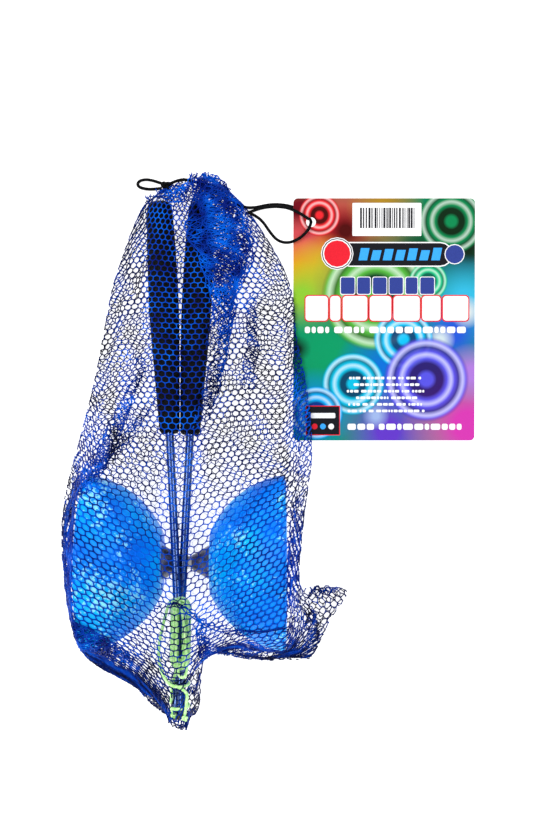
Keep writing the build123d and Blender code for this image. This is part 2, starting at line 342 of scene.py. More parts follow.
DRAWSTRING_ROUTE = [
    (-14.2, 238.9, 6.0), (-8.5, 241.4, 7.6), (-1.0, 240.6, 9.5), (8.0, 237.0, 11.0), (17.5, 232.6, 10.5),
    (26.0, 227.4, 8.0), (33.5, 223.6, 5.2), (41.0, 223.8, 3.2), (50.5, 226.4, 1.8), (61.0, 226.2, 1.15),
    (69.6, 223.4, 1.15), (75.0, 219.4, 1.1), (77.4, 216.2, 1.5), (77.6, 213.5, 4.7), (75.2, 208.2, 5.4),
    (69.8, 203.2, 5.2), (62.5, 200.4, 4.8), (55.6, 202.2, 3.4), (50.6, 208.2, 2.5), (46.0, 215.2, 2.4),
    (41.0, 219.0, 2.8), (36.0, 221.0, 3.6),
]
TAIL_ROUTE = [
    (76.2, 216.0, 5.1), (70.5, 219.9, 5.2), (63.0, 223.4, 4.9), (55.5, 224.6, 4.0), (47.5, 224.2, 3.2),
    (40.5, 222.2, 3.4), (34.5, 219.6, 4.0),
]
LOOP_ROUTE = [
    (-19.9, 239.4, 4.8), (-24.5, 241.3, 3.4), (-30.0, 242.6, 2.2), (-34.4, 241.9, 1.6), (-36.1, 239.6, 1.4),
    (-34.6, 237.4, 1.6), (-29.5, 236.1, 2.2), (-24.2, 235.9, 3.4), (-19.9, 236.3, 4.6),
]
LEFT_LEAD = [(-4.9, -83.4), (-5.6, -81.6)]
LEFT_CLIMB = [(-6.4, -75.5), (-6.6, -71.5), (-5.8, -66.5), (-4.8, -62.0)]
RIGHT_LEAD = [(3.2, -70.0), (2.7, -75.0), (2.0, -80.0), (1.6, -83.4)]
STRING_LIE = SHAFT_RADIUS + STRING_RADIUS + 0.25


def wrap_round_sticks(y_start, y_end, start):
    """A turn of the string round both shafts. It starts at this angle, in half turns from their right side."""
    points = []
    steps = 12
    for step in range(1, steps + 1):
        share = step / steps
        angle = math.pi * start - 2 * math.pi * share
        y = y_start + (y_end - y_start) * share
        x = (stick_x(y, "left") + stick_x(y, "right")) / 2
        z = (stick_z(y, 0, "left") + stick_z(y, 0, "right")) / 2
        points.append((x + 5.6 * math.cos(angle), y, z + 7.3 * math.sin(angle)))
    return points


def lead_z(y):
    """Height of the left lead: over the left stick, then down to the tip of the right one."""
    down = min(max((-61.0 - y) / 11.0, 0.0), 1.0)
    return (1 - down) * stick_z(y, STRING_LIE, "left") + down * stick_z(y, STRING_LIE, "right")


def long_turn(angle, half_length, half_width):
    """A place on a long turn with round ends: (across, along) at this angle."""
    from_end = abs(math.pi / 2 - abs((angle + math.pi) % (2 * math.pi) - math.pi))
    if from_end < math.pi / 4:
        across, along = half_width * math.sin(2 * from_end), half_length - half_width * (1 - math.cos(2 * from_end))
    else:
        across, along = half_width, (half_length - half_width) * (2 - 4 * from_end / math.pi)
    return math.copysign(across, math.cos(angle)), math.copysign(along, math.sin(angle))


def hank_turns():
    """The wound string: nested long turns in layers on top of the sticks, with slightly uneven ends."""
    rng = np.random.default_rng(SEED)
    centre_x = (hank_low[0] + hank_high[0]) / 2
    centre_y = (hank_low[1] + hank_high[1]) / 2
    layers = [0, 0, 0, 1, 1, 1, 2, 2, 2, 3, 3]
    rings = [0, 1, 2, 2, 1, 0, 0, 1, 2, 1, 0]
    shifts = rng.uniform(-1.2, 1.2, len(rings))
    per_turn = 16
    points = []
    for step in range(per_turn * (len(rings) - 1)):
        turn = step / per_turn
        ring, layer, shift = (np.interp(turn, range(len(rings)), values) for values in (rings, layers, shifts))
        angle = 2 * math.pi * turn - math.pi / 2
        across, along = long_turn(angle, 16.6 + 1.7 * ring, 1.7 + 1.7 * ring)
        along += shift
        height = SHAFT_RADIUS + 0.5 + STRING_RADIUS + 1.75 * layer
        y = centre_y + along * math.cos(STICK_PITCH)
        points.append((centre_x + across, y, stick_z(y, height)))
    return points


def loose_loop():
    """The one slack turn that bulges out to the left of the hank."""
    route = [(-2.2, -57.8, 9.6), (-0.4, -60.6, 9.6), (2.0, -60.2, 9.8), (3.0, -56.5, 10.2), (2.4, -45.0, 10.6),
             (0.4, -27.0, 10.6), (-1.4, -20.0, 10.2), (-4.6, -17.4, 8.6), (-7.6, -19.2, 6.2), (-9.6, -24.0, 4.2),
             (-11.6, -32.0, 2.4), (-14.0, -43.0, 1.6), (-14.2, -53.0, 1.6), (-11.2, -61.5, 2.6), (-7.0, -66.0, 4.6)]
    return [(x, y, stick_z(y, above)) for x, y, above in route]


def make_string(material):
    lead, climb = ([(x, y, lead_z(y)) for x, y in part] for part in (LEFT_LEAD, LEFT_CLIMB))
    end = [(x, y, stick_z(y, STRING_LIE)) for x, y in RIGHT_LEAD]
    route = lead + wrap_round_sticks(-79.2, -78.2, 0.95)[:-1] + climb + hank_turns() + loose_loop()
    route += wrap_round_sticks(-67.2, -66.2, 0.62) + end
    knots = [tied_knot(f"string_knot_tied_{side}", f"string_knot_{side}", "hand_sticks", STRING_RADIUS * 0.8, 1.3,
                       0.5, material) for side in ("left", "right")]
    string = cord_curve("string", route, STRING_RADIUS, material)
    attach(string, "hand_sticks")
    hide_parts("string_hank", "string_lead_left", "string_lead_right")


def tied_knot(name, node, body, tube, size, tilt, material):
    """An overhand knot drawn tight: a closed three-lobed tube in place of a plain CAD knot."""
    low, high = box_mm(node)
    centre = (low + high) / 2
    data = bpy.data.curves.new(name, "CURVE")
    data.dimensions = "3D"
    spline = data.splines.new("NURBS")
    steps = 24
    spline.points.add(steps - 1)
    for step, slot_point in enumerate(spline.points):
        t = 2 * math.pi * step / steps
        local = Vector((math.sin(t) + 2 * math.sin(2 * t), math.cos(t) - 2 * math.cos(2 * t), -1.4 * math.sin(3 * t)))
        local = Vector((local.x, local.y * math.cos(tilt) - local.z * math.sin(tilt),
                        local.y * math.sin(tilt) + local.z * math.cos(tilt))) * size / 3
        slot_point.co = (*((Vector(centre) + local) * MM), 1)
    spline.order_u = 4
    spline.use_cyclic_u = True
    data.bevel_depth = tube * MM
    data.bevel_resolution = 3
    data.materials.append(material)
    piece = add_object(name, data)
    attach(piece, body)
    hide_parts(node)
    return piece.name


def make_drawstring(material):
    knot = tied_knot("drawstring_knot_tied", "drawstring_knot", "bag", CORD_RADIUS, 2.6, 0.3, material)
    routes = [
        ("drawstring", DRAWSTRING_ROUTE, 0.156, [knot]), ("drawstring_tail", TAIL_ROUTE, 0.044, []),
        ("drawstring_loop", LOOP_ROUTE, 0.036, []),
    ]
    for name, route, length, pieces in routes:
        cord = cord_curve(f"{name}_cord", route, CORD_RADIUS, material)
        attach(cord, "bag")
        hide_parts(name)


# ------------------------------------------------------------------ the net bag's shape

# The bag's edge seen from above, counter-clockwise from the middle of the mouth
EDGE = [
    (-4, 241), (-14, 239), (-21, 234.5), (-32, 224), (-38, 212), (-42, 202), (-47, 188), (-52.5, 170), (-57.5, 144),
    (-63, 115), (-70, 86), (-78, 56), (-83, 34), (-85, 12), (-84, -10), (-81.5, -34), (-77, -56), (-71, -67),
    (-61.5, -75.5), (-50, -81.5), (-39, -87.5), (-31, -95), (-24, -102), (-16, -107), (-8, -109.5), (-2, -109.5),
    (3, -105), (5, -97), (5.5, -86), (7.5, -70), (12, -65.5), (21, -66), (33, -68.5), (49, -71), (61, -69),
    (77, -69.5), (84, -58), (90, -45),
    (101, -29), (97, -24.5), (84, -24.5), (73, -27), (69.5, -14), (71, 4), (73, 24), (76, 44), (78, 60), (77, 88),
    (72.5, 119), (68, 139), (66, 163), (61, 181), (54, 195), (46, 208), (37, 221), (27, 232), (16, 241), (6, 245),
]
GRID = 1.5
GRID_X = np.arange(-96, 114, GRID)
GRID_Y = np.arange(-108, 256, GRID)
# The line that the bag hangs and gathers about
MIDDLE_X = -3.0
THREAD_RADIUS = 0.41
# The net's cell: between columns of knots, and between rows
PITCH = 4.6
ROW = 3.3
# How much of a steep drop's length the stretched net takes up
DROP_SHARE = 0.38
# Knots this far outside the edge are pulled onto it
SNAP_REACH = 2.0
# On steep ground this near the edge, only this share of the strands is kept
STEEP_REACH = 14.0
STEEP_SHARE = 0.38


def inside_polygon(x, y, polygon):
    inside = np.zeros(x.shape, bool)
    for (ax, ay), (bx, by) in zip(polygon, np.roll(polygon, -1, axis=0)):
        crosses = (ay > y) != (by > y)
        with np.errstate(divide="ignore", invalid="ignore"):
            at = (bx - ax) * (y - ay) / (by - ay) + ax
        inside ^= crosses & (x < at)
    return inside


def smooth_closed(points, per_span=6):
    """A Catmull-Rom curve through a closed list of points."""
    p = np.array(points, float)
    before, after, later = np.roll(p, 1, 0), np.roll(p, -1, 0), np.roll(p, -2, 0)
    out = []
    for t in np.arange(per_span) / per_span:
        out.append(0.5 * (2 * p + (after - before) * t + (2 * before - 5 * p + 4 * after - later) * t ** 2
                          + (3 * p - before - 3 * after + later) * t ** 3))
    return np.stack(out, 1).reshape(-1, 2)


def ground_height(x, y):
    """What the bag's edge rests on: the table, and the card's left edge."""
    on_card = (x > card_low[0] - 1.5) & (y > card_low[1] - 1.5) & (y < card_high[1] + 1.5)
    rise = (y - card_low[1]) / (card_high[1] - card_low[1]) * (card_high[2] - CARD_THICKNESS - card_low[2])
    return np.where(on_card, card_low[2] + CARD_THICKNESS + np.clip(rise, 0, None) + 0.5, 0.0)


def contents_height(x, y):
    """Top of everything in the bag, as a height over each point of the floor."""
    top = ground_height(x, y) + 1.0
    across = np.abs(x)
    # The cups' outer profile is one arc through its base, its belly and its rim
    centre, middle, radius = 67.5, -4.5, 57.5
    profile = middle + np.sqrt(np.clip(radius ** 2 - (centre - across) ** 2, 0, None))
    profile = np.where((across > CUP_BASE_X) & (across < CUP_RIM_X + 0.6), np.minimum(profile, CUP_RADIUS), 0)
    hub = np.where(across <= CUP_BASE_X, 10.0, 0)
    body = np.maximum(profile, hub)
    top = np.maximum(top, np.where(np.abs(y) < body, AXLE_Z + np.sqrt(np.clip(body ** 2 - y ** 2, 0, None)), 0))
    # The sticks and their grips, as round bars on a slope
    for side in STICK_X:
        along = np.clip((y - GRIP_START_Y) / (STICK_END[0] - GRIP_START_Y), 0, 1)
        swell = np.interp(along, (0, 0.3, 0.55, 0.8, 1.0), (6.2, 8.2, 9.4, 9.2, 8.0))
        bar = np.where(y > GRIP_START_Y, swell, SHAFT_RADIUS) + 1.3
        reach = np.clip(bar ** 2 - (x - stick_x(y, side)) ** 2, 0, None)
        over = (reach > 0) & (y > STICK_TIP_Y - 4.5) & (y < STICK_END[0] + 3)
        top = np.maximum(top, np.where(over, stick_z(y, 0, side) + np.sqrt(reach), 0))
    # The drawstring inside the mouth
    for (ax, ay, az), (bx, by, bz) in zip(DRAWSTRING_ROUTE[2:7], DRAWSTRING_ROUTE[3:8]):
        share = np.clip(((x - ax) * (bx - ax) + (y - ay) * (by - ay)) / ((bx - ax) ** 2 + (by - ay) ** 2), 0, 1)
        near = np.hypot(ax + share * (bx - ax) - x, ay + share * (by - ay) - y) < 2.2
        top = np.maximum(top, np.where(near, az + share * (bz - az) + 1.2, 0))
    # The hank of string on top of the sticks
    hank = (np.abs(x + 1.4) < 6.5) & (y > -60) & (y < -15)
    top = np.maximum(top, np.where(hank, stick_z(y) + 12.0, 0))
    return top


def drape(polygon):
    """The stretched net's height on the grid: a membrane over the contents, pinned at the bag's edge."""
    x, y = np.meshgrid(GRID_X, GRID_Y, indexing="ij")
    low = contents_height(x, y) + 0.9
    inside = inside_polygon(x, y, polygon)
    ground = ground_height(x, y) + 1.1
    z = None
    for step in (4, 2, 1):
        rest = low[::step, ::step]
        for dx in range(-step + 1, step):
            for dy in range(-step + 1, step):
                rest = np.maximum(rest, np.roll(low, (dx, dy), (0, 1))[::step, ::step])
        within = inside[::step, ::step]
        floor = ground[::step, ::step]
        if z is None:
            z = np.where(within, rest, floor)
        else:
            z = np.repeat(np.repeat(z, 2, 0), 2, 1)[:within.shape[0], :within.shape[1]]
            z = np.where(within, np.maximum(z, rest), floor)
        for _ in range(260):
            mean = z.copy()
            mean[1:-1, 1:-1] = (z[2:, 1:-1] + z[:-2, 1:-1] + z[1:-1, 2:] + z[1:-1, :-2]) / 4
            z = np.where(within, np.maximum(mean - 0.0025 * step ** 2, rest), floor)
    return z


def sample(field, x, y):
    """Bilinear lookup of a grid field."""
    i = np.clip((x - GRID_X[0]) / GRID, 0, len(GRID_X) - 1.001)
    j = np.clip((y - GRID_Y[0]) / GRID, 0, len(GRID_Y) - 1.001)
    a, b = i.astype(int), j.astype(int)
    s, t = i - a, j - b
    return ((1 - s) * (1 - t) * field[a, b] + s * (1 - t) * field[a + 1, b]
            + (1 - s) * t * field[a, b + 1] + s * t * field[a + 1, b + 1])


def arc_fields(z):
    """How far each grid point lies along the net from the middle line, across and along the bag.

    The net stretches where it hangs steeply, so that a drop counts for part of its length.
    """
    run_x = np.zeros_like(z)
    run_x[1:] = np.cumsum(np.sqrt(GRID ** 2 + (DROP_SHARE * np.diff(z, axis=0)) ** 2), axis=0)
    run_y = np.zeros_like(z)
    run_y[:, 1:] = np.cumsum(np.sqrt(GRID ** 2 + (DROP_SHARE * np.diff(z, axis=1)) ** 2), axis=1)
    middle_x = np.searchsorted(GRID_X, MIDDLE_X)
    middle_y = np.searchsorted(GRID_Y, 0.0)
    return run_x - run_x[middle_x], run_y - run_y[:, middle_y:middle_y + 1]


def gather(y):
    """How much the net is drawn together across the bag: 1 is flat, less is gathered."""
    mouth = 1 - 0.55 * np.clip((y - 165) / 75, 0, 1) ** 1.4
    tip = 1 - 0.45 * np.clip((-y - 50) / 45, 0, 1)
    return mouth * tip


def hex_lattice(u_range, v_range):
    """The knots and the strands of a knitted hexagonal net, in its flat coordinates."""
    columns = int((u_range[1] - u_range[0]) / PITCH) + 1
    rows = int((v_range[1] - v_range[0]) / (ROW * 2)) + 1
    stem = ROW * 0.42
    knots = []
    index = {}
    for r in range(rows * 2):
        for c in range(columns):
            u = u_range[0] + (c + 0.5 * (r % 2)) * PITCH
            v = v_range[0] + r * ROW
            index[r, c, 0] = len(knots)
            knots.append((u, v - stem / 2))
            index[r, c, 1] = len(knots)
            knots.append((u, v + stem / 2))
    strands = []
    for (r, c, end), here in index.items():
        if end == 0:
            strands.append((here, index[r, c, 1]))
            continue
        for other in ((r + 1, c, 0), (r + 1, c + (1 if r % 2 else -1), 0)):
            if other in index:
                strands.append((here, index[other]))
    return np.array(knots), np.array(strands)


def place_on_bag(knots, arcs):
    """Find the point of the draped net that has each knot's distances across and along it."""
    arc_x, arc_y = arcs
    x = np.clip(knots[:, 0], GRID_X[0] + 2, GRID_X[-1] - 2)
    y = np.clip(knots[:, 1], GRID_Y[0] + 2, GRID_Y[-1] - 2)
    for _ in range(24):
        wanted_u = knots[:, 0] * gather(y)
        error_x = sample(arc_x, x, y) - wanted_u
        error_y = sample(arc_y, x, y) - knots[:, 1]
        slope_x = (sample(arc_x, x + 1, y) - sample(arc_x, x - 1, y)) / 2
        slope_y = (sample(arc_y, x, y + 1) - sample(arc_y, x, y - 1)) / 2
        x = np.clip(x - 0.7 * error_x / np.maximum(slope_x, 1), GRID_X[0] + 1, GRID_X[-1] - 1)
        y = np.clip(y - 0.7 * error_y / np.maximum(slope_y, 1), GRID_Y[0] + 1, GRID_Y[-1] - 1)
    return x, y


# Lines where the slack net bunches into a fold: points, reach to each side and strength
FOLDS = [
    ([(-16, -27), (-9, -19), (-2, -18.5), (6, -24), (14, -32), (26, -37), (40, -36), (62, -30)], 4.0, 0.85),
    ([(10, -62), (24, -66), (40, -69), (60, -70), (78, -70)], 5.0, 0.8),
    ([(8, -26), (11, -44), (12, -66)], 5.0, 0.7),
    ([(-38, 74), (-56, 56), (-71, 42), (-77, 16), (-79, -12)], 5.0, 0.75),
    ([(-40, 200), (-46, 150), (-56, 112), (-60, 92)], 5.0, 0.4),
    ([(66, 30), (70, 80), (67, 118), (60, 150)], 5.0, 0.6),
    ([(-76, -8), (-58, -36), (-44, -51), (-16, -72)], 5.0, 0.2),
    ([(70, -30), (78, -42), (74, -60)], 7.0, 0.6),
]


def nearest_on_line(x, y, line):
    """The nearest place on a line of straight runs to each point, and how far away it is."""
    near = np.full(x.shape, 1e9)
    best_x, best_y = x.copy(), y.copy()
    for (ax, ay), (bx, by) in zip(line, line[1:]):
        length = max(math.hypot(bx - ax, by - ay), 1e-6)
        share = np.clip(((x - ax) * (bx - ax) + (y - ay) * (by - ay)) / length ** 2, 0, 1)
        px, py = ax + share * (bx - ax), ay + share * (by - ay)
        distance = np.hypot(px - x, py - y)
        closer = distance < near
        near = np.where(closer, distance, near)
        best_x, best_y = np.where(closer, px, best_x), np.where(closer, py, best_y)
    return best_x, best_y, near


def bunch(x, y):
    """Draw knots towards the folds, so that the net crowds there."""
    for line, reach, strength in FOLDS:
        fold_x, fold_y, distance = nearest_on_line(x, y, line)
        weight = strength * np.exp(-(distance / reach) ** 2)
        x, y = x + (fold_x - x) * weight, y + (fold_y - y) * weight
    return x, y


# Slack strips where the net lies pleated over itself: points with the half width there, and how many pleats
PLEATS = [
    ([(6, 242, 7), (12, 233, 12), (18, 217, 17), (21, 200, 16), (22, 184, 12), (21.5, 168, 9), (20, 148, 6),
      (16, 128, 5)], 2.6),
    ([(12, 236, 9), (15, 224, 12), (18, 210, 12), (20, 192, 10), (21, 176, 8), (20, 158, 6)], 1.6),
    ([(-22, 232, 3), (-10, 230, 7), (2, 233, 8)], 1.6),
    ([(-78, -8, 3), (-72, -18, 8), (-62, -34, 10), (-50, -48, 8), (-34, -60, 5)], 2.0),
    ([(9, -26, 2), (12, -42, 3.5), (13, -62, 3)], 2.0),
    ([(-28, 126, 3), (-34, 108, 4), (-42, 90, 5), (-55, 58, 5), (-68, 44, 5), (-76, 20, 3), (-79, -10, 3)], 1.6),
    ([(-20, 98, 2), (-38, 74, 3), (-54, 54, 3.5), (-64, 36, 2)], 1.3),
    ([(27, 164, 4), (22, 134, 4), (14, 104, 4), (6, 76, 4)], 1.6),
    ([(38, 170, 3), (40, 130, 4), (34, 96, 3)], 1.1),
    ([(72, -30, 2), (77, -42, 5), (80, -56, 4), (76, -64, 2)], 1.6),
    ([(72, -27, 1.5), (84, -26, 3), (97, -26.5, 2.5)], 1.4),
    ([(-19, -25, 1.2), (-9, -19.5, 1.6), (-2, -18.5, 1.8), (6, -24, 2), (14, -32, 2.4), (26, -37, 2.4),
      (44, -37, 1.6)], 1.2),
]
SEAM = ([(9, -66, 1.6), (22, -67, 2.0), (48, -70, 2.2), (62, -68.5, 2.2), (77, -68.5, 1.8)], 1.4)


def pleated_strip(line, pleats, z):
    """A strip of the net folded to and fro over itself, resting on the draped net."""
    line = np.array(line, float)
    run = np.concatenate([[0], np.cumsum(np.hypot(*np.diff(line[:, :2], axis=0).T))])
    wave = 4 * line[:, 2].mean()
    knots, strands = hex_lattice((0, pleats * wave), (0, run[-1]))
    u, v = knots.T
    v = np.clip(v, 0, run[-1])
    middle_x, middle_y, half = (np.interp(v, run, line[:, k]) for k in range(3))
    ahead_x, ahead_y = (np.interp(v + 2, run, line[:, k]) - np.interp(v - 2, run, line[:, k]) for k in range(2))
    size = np.hypot(ahead_x, ahead_y) + 1e-6
    phase = 2 * math.pi * u / wave + 0.9 * waves(u, v, 9, 0.7)
    across = half * np.sin(phase) * (1 + 0.45 * waves(v, u, 12, 2.0))
    x = middle_x - ahead_y / size * across + 1.1 * waves(u, v, 5, 1.3) + 1.0 * waves(v, u, 3.1, 0.5)
    y = middle_y + ahead_x / size * across + 1.4 * waves(v, u, 6, 0.2) + 1.0 * waves(u, v, 3.4, 1.9)
    lift = 0.5 + 0.9 * (1 + np.cos(phase))
    # The strip thins out towards its far end and, unless it starts at the mouth, towards its start
    rng = np.random.default_rng(SEED)
    share = v[strands[:, 0]] / run[-1]
    fade = np.clip((1 - share) / 0.35, 0.2, 1)
    if line[0, 1] < 225:
        fade = np.minimum(fade, np.clip(share / 0.3, 0.2, 1))
    strands = strands[rng.random(len(strands)) < fade]
    return np.stack([x, y, np.maximum(sample(z, x, y), 1.2) + lift], 1), strands


def frayed_ends(polygon, z, rng):
    """Short loose thread ends along the bag's cut mouth."""
    edge = polygon[(polygon[:, 1] > 226) & (polygon[:, 0] < 33)]
    points, strands = [], []
    for _ in range(60):
        x, y = edge[rng.integers(len(edge))] + rng.normal(0, 0.6, 2)
        heading = math.atan2(y - 205, x - 4) + rng.normal(0, 0.8)
        height = max(float(sample(z, np.array(x), np.array(y))), 1.5) + rng.uniform(0, 2)
        strands += [(len(points), len(points) + 1), (len(points) + 1, len(points) + 2)]
        points.append((x, y, height))
        for _ in range(2):
            x, y = x + 1.4 * math.cos(heading), y + 1.4 * math.sin(heading)
            heading += rng.normal(0, 0.9)
            points.append((x, y, height + rng.uniform(0, 1)))
    return np.array(points), np.array(strands)


def relax(x, y, strands, rest, z, rounds):
    """Let the knots slide over the draped net until its strands pull evenly."""
    a, b = strands[:, 0], strands[:, 1]
    count = len(x)
    degree = np.maximum(np.bincount(a, minlength=count) + np.bincount(b, minlength=count), 1)
    for _ in range(rounds):
        height = sample(z, x, y)
        dx, dy, dz = x[b] - x[a], y[b] - y[a], DROP_SHARE * (height[b] - height[a])
        length = np.sqrt(dx ** 2 + dy ** 2 + dz ** 2) + 1e-6
        squeeze = (gather(y[a]) + gather(y[b])) / 2
        pull = (length - rest * squeeze) / length
        move_x = np.bincount(a, dx * pull, count) - np.bincount(b, dx * pull, count)
        move_y = np.bincount(a, dy * pull, count) - np.bincount(b, dy * pull, count)
        x = x + 0.45 * move_x / degree
        y = y + 0.45 * move_y / degree
    return x, y


def waves(x, y, scale, phase):
    """A smooth uneven ripple between -1 and 1."""
    total = np.zeros_like(x)
    for k, (fx, fy) in enumerate([(1.0, 0.35), (-0.6, 0.9), (0.45, 1.3), (1.7, -0.8)]):
        total += np.sin((fx * x + fy * y) / scale + phase + 1.9 * k) / (1 + 0.5 * k)
    return total / 2.4


def snap_to_edge(x, y, polygon):
    """Pull knots just outside the bag's edge onto it. Also gives the knots to keep and their distance to the edge."""
    inside = inside_polygon(x, y, polygon)
    edge_x, edge_y, near = nearest_on_line(x, y, np.concatenate([polygon, polygon[:1]]))
    snapped = ~inside & (near < SNAP_REACH)
    x, y = np.where(snapped, edge_x, x), np.where(snapped, edge_y, y)
    return x, y, inside | snapped, near


def thread_mesh(name, node, points, strands, radius, material):
    """The bag's threads in place of a CAD node, thicker at the knots. Points and radii are in millimetres."""
    strands = strands[np.linalg.norm(points[strands[:, 1]] - points[strands[:, 0]], axis=1) > 0.15]
    a, b = points[strands[:, 0]], points[strands[:, 1]]
    along = b - a
    length = np.linalg.norm(along, axis=1)[:, None]
    radius = ((radius[strands[:, 0]] + radius[strands[:, 1]]) / 2)[:, None]
    along = along / length
    helper = np.where(np.abs(along[:, 2:3]) > 0.9, (1.0, 0.0, 0.0), (0.0, 0.0, 1.0))
    side = np.cross(along, helper)
    side /= np.linalg.norm(side, axis=1, keepdims=True)
    up = np.cross(side, along)
    rings = []
    for share, thick in ((0.0, 1.3), (0.5, 0.88), (1.0, 1.3)):
        centre = a + (b - a) * share
        for k in range(4):
            angle = math.pi / 2 * k + math.pi / 4
            rings.append(centre + radius * thick * (side * math.cos(angle) + up * math.sin(angle)))
    vertices = np.stack(rings, 1).reshape(-1, 3) * MM
    quads = []
    for ring in range(2):
        for k in range(4):
            quads.append((4 * ring + k, 4 * ring + (k + 1) % 4, 4 * ring + 4 + (k + 1) % 4, 4 * ring + 4 + k))
    quads = np.array(quads)[None] + 12 * np.arange(len(a))[:, None, None]
    quads = quads.reshape(-1, 4)
    mesh = bpy.data.meshes.new(name)
    mesh.vertices.add(len(vertices))
    mesh.vertices.foreach_set("co", vertices.ravel())
    mesh.loops.add(quads.size)
    mesh.loops.foreach_set("vertex_index", quads.ravel().astype(np.int32))
    mesh.polygons.add(len(quads))
    mesh.polygons.foreach_set("loop_start", np.arange(0, quads.size, 4, dtype=np.int32))
    mesh.polygons.foreach_set("use_smooth", np.ones(len(quads), bool))
    mesh.update(calc_edges=True)
    mesh.materials.append(material)
    piece = add_object(name, mesh)
    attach(piece, "bag")
    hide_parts(node)
    return piece


def make_net(material):
    polygon = smooth_closed(EDGE)
    z = drape(polygon)
    arcs = arc_fields(z)
    x_grid, y_grid = np.meshgrid(GRID_X, GRID_Y, indexing="ij")
    within = inside_polygon(x_grid, y_grid, polygon)
    over = z - contents_height(x_grid, y_grid)
    knots, strands = hex_lattice((-250, 260), (-270, 400))
    # The cups' rims hold the net's rows up at both sides, so the rows sag towards the waist
    sag = 0.12 + 0.40 * np.exp(-((knots[:, 1] + 10) / 95) ** 2)
    knots[:, 1] += sag * (np.sqrt(knots[:, 0] ** 2 + 12 ** 2) - 40)
    x, y = place_on_bag(knots, arcs)
    x, y = relax(x, y, strands, 2.45, z, 50)
    x = x + 1.0 * waves(x, y, 17, 0.4)
    y = y + 1.0 * waves(y, x, 19, 2.1)
    x, y = bunch(x, y)
    x, y, kept, near = snap_to_edge(x, y, polygon)
    free = np.clip(sample(over, x, y) / 8, 0, 1) * np.clip(near / 10, 0, 1)
    height = sample(z, x, y) + free * 1.6 * waves(x, y, 6.5, 1.0)
    x = x + 0.7 * free * waves(x, y, 3.3, 0.2)
    y = y + 0.7 * free * waves(y, x, 3.7, 1.6)
    points = np.stack([x, y, np.maximum(height, 1.5)], 1)
    both = kept[strands[:, 0]] & kept[strands[:, 1]]
    strands = strands[both]
    reach = np.linalg.norm(points[strands[:, 0]] - points[strands[:, 1]], axis=1)
    # On the steep sides many strands stand behind one another: most of them are left out
    flat_reach = np.linalg.norm(points[strands[:, 0], :2] - points[strands[:, 1], :2], axis=1)
    rise = np.abs(points[strands[:, 0], 2] - points[strands[:, 1], 2])
    crowded = ((flat_reach < 1.5) | (rise > 1.2 * flat_reach)) & (near[strands[:, 0]] < STEEP_REACH)
    kept_share = np.random.default_rng(SEED).random(len(strands)) < np.where(crowded, STEEP_SHARE, 1.0)
    strands = strands[(reach < 14) & kept_share]
    for extra in [pleated_strip(line, pleats, z) for line, pleats in PLEATS] + [
            frayed_ends(polygon, z, np.random.default_rng(SEED))]:
        strands = np.concatenate([strands, extra[1] + len(points)])
        points = np.concatenate([points, extra[0]])
    left = (points[strands[:, 0], 0] + points[strands[:, 1], 0]) / 2 < MIDDLE_X
    radii = np.full(len(points), THREAD_RADIUS)
    for side, chosen, place in (("left", left, x_grid < MIDDLE_X), ("right", ~left, x_grid >= MIDDLE_X)):
        piece = thread_mesh(f"net_front_{side}", "net_front", points, strands[chosen], radii, material)
    points, strands = pleated_strip(*SEAM, z)
    thread_mesh("bag_seam_pleats", "bag_seam", points, strands, np.full(len(points), THREAD_RADIUS), material)
    # The back net lies flat on the table under everything
    knots, strands = hex_lattice((-110, 120), (-115, 260))
    angle = math.radians(6)
    x = knots[:, 0] * math.cos(angle) - knots[:, 1] * math.sin(angle)
    y = knots[:, 0] * math.sin(angle) + knots[:, 1] * math.cos(angle)
    x = MIDDLE_X + (x - MIDDLE_X) * gather(y) ** 0.6
    x = x + 2.0 * waves(x, y, 21, 3.0)
    y = y + 2.0 * waves(y, x, 23, 0.7)
    x, y, kept, near = snap_to_edge(x, y, polygon)
    height = 0.55 + 0.25 * (1 + waves(x, y, 8, 2.0))
    points = np.stack([x, y, np.clip(height, 0.4, 1.0) + ground_height(x, y)], 1)
    strands = strands[kept[strands[:, 0]] & kept[strands[:, 1]]]
    # The threads are drawn thin where the diabolo's weight stretches them
    under = np.exp(-((x - MIDDLE_X) / 52) ** 4 - ((y + 8) / 62) ** 4)
    piece = thread_mesh("net_back_threads", "net_back", points, strands, 0.40 * (1 - 0.8 * under), material)


# ------------------------------------------------------------------ the hang card and its plain print

